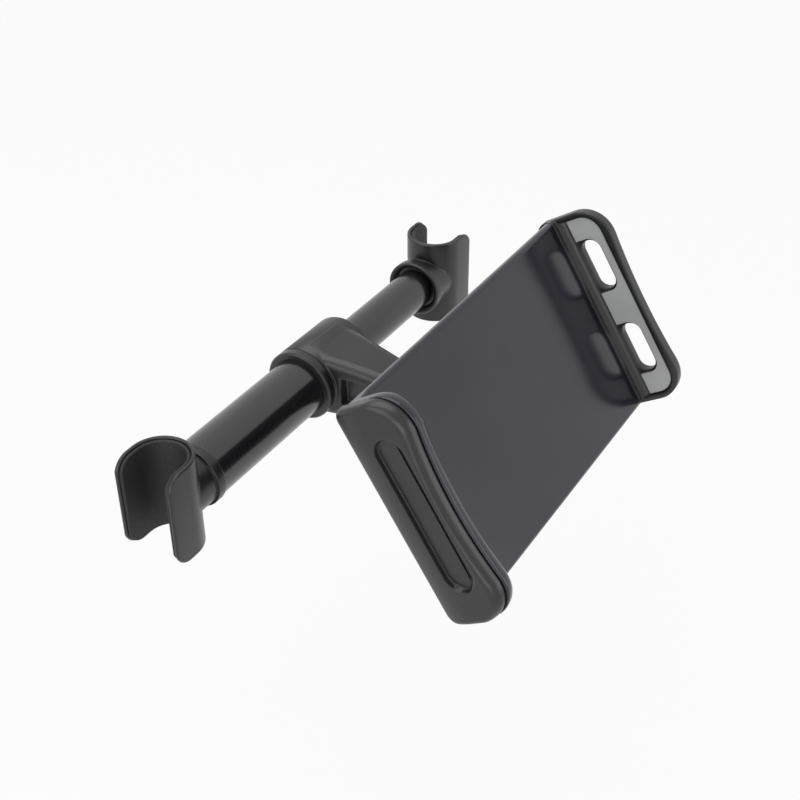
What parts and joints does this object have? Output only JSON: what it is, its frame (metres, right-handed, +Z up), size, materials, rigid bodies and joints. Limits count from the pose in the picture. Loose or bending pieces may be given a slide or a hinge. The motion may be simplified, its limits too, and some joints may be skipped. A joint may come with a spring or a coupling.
{
  "type": "headrest phone holder",
  "caption": "Phone holder for a car seat: a telescopic bar hooks against the headrest posts and carries a spring clamp on a ball joint.",
  "frame": {"origin": "centre of the left post's seat, half way up the left hook", "axes": "+X runs along the bar from the left post to the right one, +Z runs up along the posts, and the clamp looks towards -Y, to the person in the back seat"},
  "size_m": [0.1781, 0.1176, 0.0697],
  "materials": {
    "black_plastic": "satin moulded black plastic",
    "tray_plastic": "fine-grained dark grey plastic",
    "tube_metal": "satin black coated tube",
    "black_rubber": "matt black rubber",
    "grey_pad": "matt grey soft pad",
    "white_plastic": "plain moulded plastic inside the bar and joint",
    "steel": "plain steel"
  },
  "bodies": {
    "base": {"left_hook": "black_plastic", "left_hook_liner": "black_rubber", "left_tube_plug": "black_plastic", "left_hook_screw": "steel", "outer_tube": "tube_metal", "guide_bush": "white_plastic", "tee_body": "black_plastic", "sleeve_ring": "black_plastic", "tee_set_screw": "steel", "ball_stud": "black_plastic"},
    "lock": {"lock_ring": "white_plastic"},
    "reach": {"inner_tube": "tube_metal", "lock_core": "white_plastic", "lock_screw": "steel", "right_tube_plug": "black_plastic", "right_hook_screw": "steel", "right_hook": "black_plastic", "right_hook_liner": "black_rubber"},
    "swing": {"ball_pad": "black_rubber"},
    "tilt": {"ball_liner": "white_plastic"},
    "clamp": {"rear_housing": "black_plastic", "front_tray": "tray_plastic", "left_jaw_cover": "black_plastic", "left_jaw_pad": "grey_pad", "case_screws": "steel", "jaw_springs": "steel"},
    "nut": {"ring_nut": "black_plastic"},
    "jaw": {"right_jaw": "black_plastic", "right_jaw_pad": "grey_pad"}
  },
  "joints": [
    {"name": "bar_length", "type": "slide", "parent": "base", "child": "lock", "axis": [1, 0, 0], "range_m": [-0.023, 0.023]},
    {"name": "bar_twist", "type": "hinge", "parent": "lock", "child": "reach", "pos_m": [0.08275, 0, 0], "axis": [1, 0, 0], "range_deg": [-90, 90]},
    {"name": "ball_swing", "type": "hinge", "parent": "base", "child": "swing", "pos_m": [0.08275, -0.0554, 0], "axis": [0, 0, 1], "range_deg": [-16, 16]},
    {"name": "ball_tilt", "type": "hinge", "parent": "swing", "child": "tilt", "pos_m": [0.08275, -0.0554, 0], "axis": [1, 0, 0], "range_deg": [-5.5, 70.5]},
    {"name": "ball_roll", "type": "hinge", "parent": "tilt", "child": "clamp", "pos_m": [0.08275, -0.0554, 0], "axis": [0, -0.8434, 0.5373], "continuous": true},
    {"name": "nut_turn", "type": "hinge", "parent": "clamp", "child": "nut", "pos_m": [0.08275, -0.0554, 0], "axis": [0, -0.8434, 0.5373], "range_deg": [-180, 0]},
    {"name": "jaw_slide", "type": "slide", "parent": "clamp", "child": "jaw", "axis": [1, 0, 0], "range_m": [0, 0.075], "stiffness_N_per_m": 120, "springref_m": -0.05}
  ]
}
